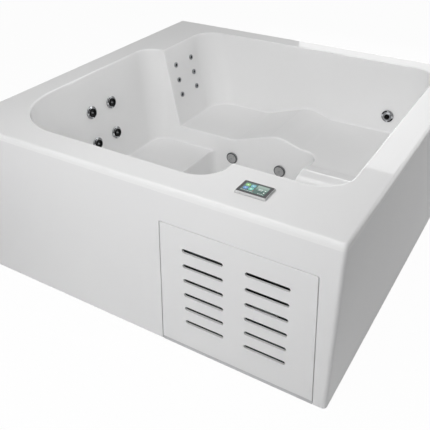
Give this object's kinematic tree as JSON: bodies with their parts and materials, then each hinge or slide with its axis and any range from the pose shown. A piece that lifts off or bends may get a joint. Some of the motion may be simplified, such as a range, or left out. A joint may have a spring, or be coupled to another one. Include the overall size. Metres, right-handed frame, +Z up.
{
  "type": "hot tub",
  "caption": "Square portable hot tub: white moulded basin with bench, corner seat and contoured lounger, foam-filled skirt, hydro jets, touch control and a louvred access panel.",
  "frame": {"origin": "middle of the underside, on the ground", "axes": "+X along the lounger from its headrest to its foot end, +Y from the access panel's side to the back, +Z up"},
  "size_m": [2, 1.95, 0.881],
  "materials": {
    "shell_acrylic": "gloss",
    "skirt_panel": "gloss",
    "tray_plastic": "matte",
    "jet_chrome": "polished",
    "jet_black": "satin",
    "fitting_pvc": "satin",
    "pipe_pvc": "satin",
    "gasket_rubber": "matte",
    "suction_grey": "satin",
    "steel": "satin",
    "motor_paint": "satin",
    "equipment_black": "satin",
    "filter_paper": "matte",
    "lever_red": "gloss",
    "control_silver": "gloss",
    "control_glass": "gloss",
    "foam": "matte"
  },
  "bodies": {
    "tub": {"back_jet_bodies": "fitting_pvc", "back_jet_rings": "jet_chrome", "base_tray": "tray_plastic", "bench_jet_manifold": "pipe_pvc", "control_base": "control_silver", "control_box": "equipment_black", "control_box_lid": "equipment_black", "control_glass": "control_glass", "drain_valve": "fitting_pvc", "filter_canister": "equipment_black", "filter_cartridge": "filter_paper", "foam_bench": "foam", "foam_floor": "foam", "foam_front": "foam", "foam_headrest": "foam", "foam_left": "foam", "foam_lounger": "foam", "foam_seat": "foam", "foam_step": "foam", "foot_jet_pipe": "pipe_pvc", "heater_tube": "steel", "jet_bodies": "fitting_pvc", "jet_gaskets": "gasket_rubber", "jet_nuts": "fitting_pvc", "lounger_jet_manifold": "pipe_pvc", "outlet_pipe": "pipe_pvc", "panel_ledge": "tray_plastic", "pump_feet": "gasket_rubber", "pump_motor": "motor_paint", "pump_wet_end": "equipment_black", "skirt": "skirt_panel", "suction_bodies": "fitting_pvc", "suction_covers": "suction_grey", "suction_line": "pipe_pvc", "suction_screws": "steel", "supply_main": "pipe_pvc", "tub_shell": "shell_acrylic", "union_nuts": "fitting_pvc"},
    "access_panel": {"access_panel": "skirt_panel", "panel_studs": "steel"},
    "bench_jet_bezel_1": {"bench_jet_bezel_1": "jet_chrome"},
    "bench_jet_nozzle_1": {"bench_jet_nozzle_1": "jet_black"},
    "bench_jet_bezel_2": {"bench_jet_bezel_2": "jet_chrome"},
    "bench_jet_nozzle_2": {"bench_jet_nozzle_2": "jet_black"},
    "bench_jet_bezel_3": {"bench_jet_bezel_3": "jet_chrome"},
    "bench_jet_nozzle_3": {"bench_jet_nozzle_3": "jet_black"},
    "bench_jet_bezel_4": {"bench_jet_bezel_4": "jet_chrome"},
    "bench_jet_nozzle_4": {"bench_jet_nozzle_4": "jet_black"},
    "foot_jet_bezel": {"foot_jet_bezel": "jet_chrome"},
    "foot_jet_nozzle": {"foot_jet_nozzle": "jet_black"},
    "back_jet_nozzle_1": {"back_jet_nozzle_1": "jet_black"},
    "back_jet_nozzle_2": {"back_jet_nozzle_2": "jet_black"},
    "back_jet_nozzle_3": {"back_jet_nozzle_3": "jet_black"},
    "back_jet_nozzle_4": {"back_jet_nozzle_4": "jet_black"},
    "back_jet_nozzle_5": {"back_jet_nozzle_5": "jet_black"},
    "back_jet_nozzle_6": {"back_jet_nozzle_6": "jet_black"},
    "filter_lid": {"filter_lid": "equipment_black"},
    "drain_lever": {"drain_lever": "lever_red"}
  },
  "joints": [
    {"name": "access_panel_pull", "type": "slide", "parent": "tub", "child": "access_panel", "axis": [0, -1, 0], "range_m": [0, 0.3]},
    {"name": "bench_jet_turn_1", "type": "hinge", "parent": "tub", "child": "bench_jet_bezel_1", "pos_m": [-0.84207, -0.218, 0.653], "axis": [0.9966, 0, 0.0824], "range_deg": [0, 90]},
    {"name": "bench_jet_aim_1", "type": "hinge", "parent": "bench_jet_bezel_1", "child": "bench_jet_nozzle_1", "pos_m": [-0.84904, -0.218, 0.65242], "axis": [0, 1, 0], "range_deg": [-10, 10]},
    {"name": "bench_jet_turn_2", "type": "hinge", "parent": "tub", "child": "bench_jet_bezel_2", "pos_m": [-0.84207, -0.043, 0.653], "axis": [0.9966, 0, 0.0824], "range_deg": [0, 90]},
    {"name": "bench_jet_aim_2", "type": "hinge", "parent": "bench_jet_bezel_2", "child": "bench_jet_nozzle_2", "pos_m": [-0.84904, -0.043, 0.65242], "axis": [0, 1, 0], "range_deg": [-10, 10]},
    {"name": "bench_jet_turn_3", "type": "hinge", "parent": "tub", "child": "bench_jet_bezel_3", "pos_m": [-0.82587, -0.218, 0.457], "axis": [0.9966, 0, 0.0824], "range_deg": [0, 90]},
    {"name": "bench_jet_aim_3", "type": "hinge", "parent": "bench_jet_bezel_3", "child": "bench_jet_nozzle_3", "pos_m": [-0.83284, -0.218, 0.45642], "axis": [0, 1, 0], "range_deg": [-10, 10]},
    {"name": "bench_jet_turn_4", "type": "hinge", "parent": "tub", "child": "bench_jet_bezel_4", "pos_m": [-0.82587, -0.043, 0.457], "axis": [0.9966, 0, 0.0824], "range_deg": [0, 90]},
    {"name": "bench_jet_aim_4", "type": "hinge", "parent": "bench_jet_bezel_4", "child": "bench_jet_nozzle_4", "pos_m": [-0.83284, -0.043, 0.45642], "axis": [0, 1, 0], "range_deg": [-10, 10]},
    {"name": "foot_jet_turn", "type": "hinge", "parent": "tub", "child": "foot_jet_bezel", "pos_m": [0.599, 0.85, 0.542], "axis": [0, -1, 0], "range_deg": [0, 90]},
    {"name": "foot_jet_aim", "type": "hinge", "parent": "foot_jet_bezel", "child": "foot_jet_nozzle", "pos_m": [0.599, 0.857, 0.542], "axis": [1, 0, 0], "range_deg": [-10, 10]},
    {"name": "back_jet_aim_1", "type": "hinge", "parent": "tub", "child": "back_jet_nozzle_1", "pos_m": [-0.7088, 0.457, 0.75228], "axis": [0, 1, 0], "range_deg": [-10, 10]},
    {"name": "back_jet_aim_2", "type": "hinge", "parent": "tub", "child": "back_jet_nozzle_2", "pos_m": [-0.7088, 0.631, 0.75228], "axis": [0, 1, 0], "range_deg": [-10, 10]},
    {"name": "back_jet_aim_3", "type": "hinge", "parent": "tub", "child": "back_jet_nozzle_3", "pos_m": [-0.68932, 0.457, 0.65628], "axis": [0, 1, 0], "range_deg": [-10, 10]},
    {"name": "back_jet_aim_4", "type": "hinge", "parent": "tub", "child": "back_jet_nozzle_4", "pos_m": [-0.68932, 0.631, 0.65628], "axis": [0, 1, 0], "range_deg": [-10, 10]},
    {"name": "back_jet_aim_5", "type": "hinge", "parent": "tub", "child": "back_jet_nozzle_5", "pos_m": [-0.66985, 0.457, 0.56028], "axis": [0, 1, 0], "range_deg": [-10, 10]},
    {"name": "back_jet_aim_6", "type": "hinge", "parent": "tub", "child": "back_jet_nozzle_6", "pos_m": [-0.66985, 0.631, 0.56028], "axis": [0, 1, 0], "range_deg": [-10, 10]},
    {"name": "filter_lid_turn", "type": "hinge", "parent": "tub", "child": "filter_lid", "pos_m": [0.484, -0.883, 0.6085], "axis": [0, 0, 1], "range_deg": [0, 90]},
    {"name": "drain_lever_turn", "type": "hinge", "parent": "tub", "child": "drain_lever", "pos_m": [0.948, -0.908, 0.1544], "axis": [0, 0, -1], "range_deg": [0, 90]}
  ]
}
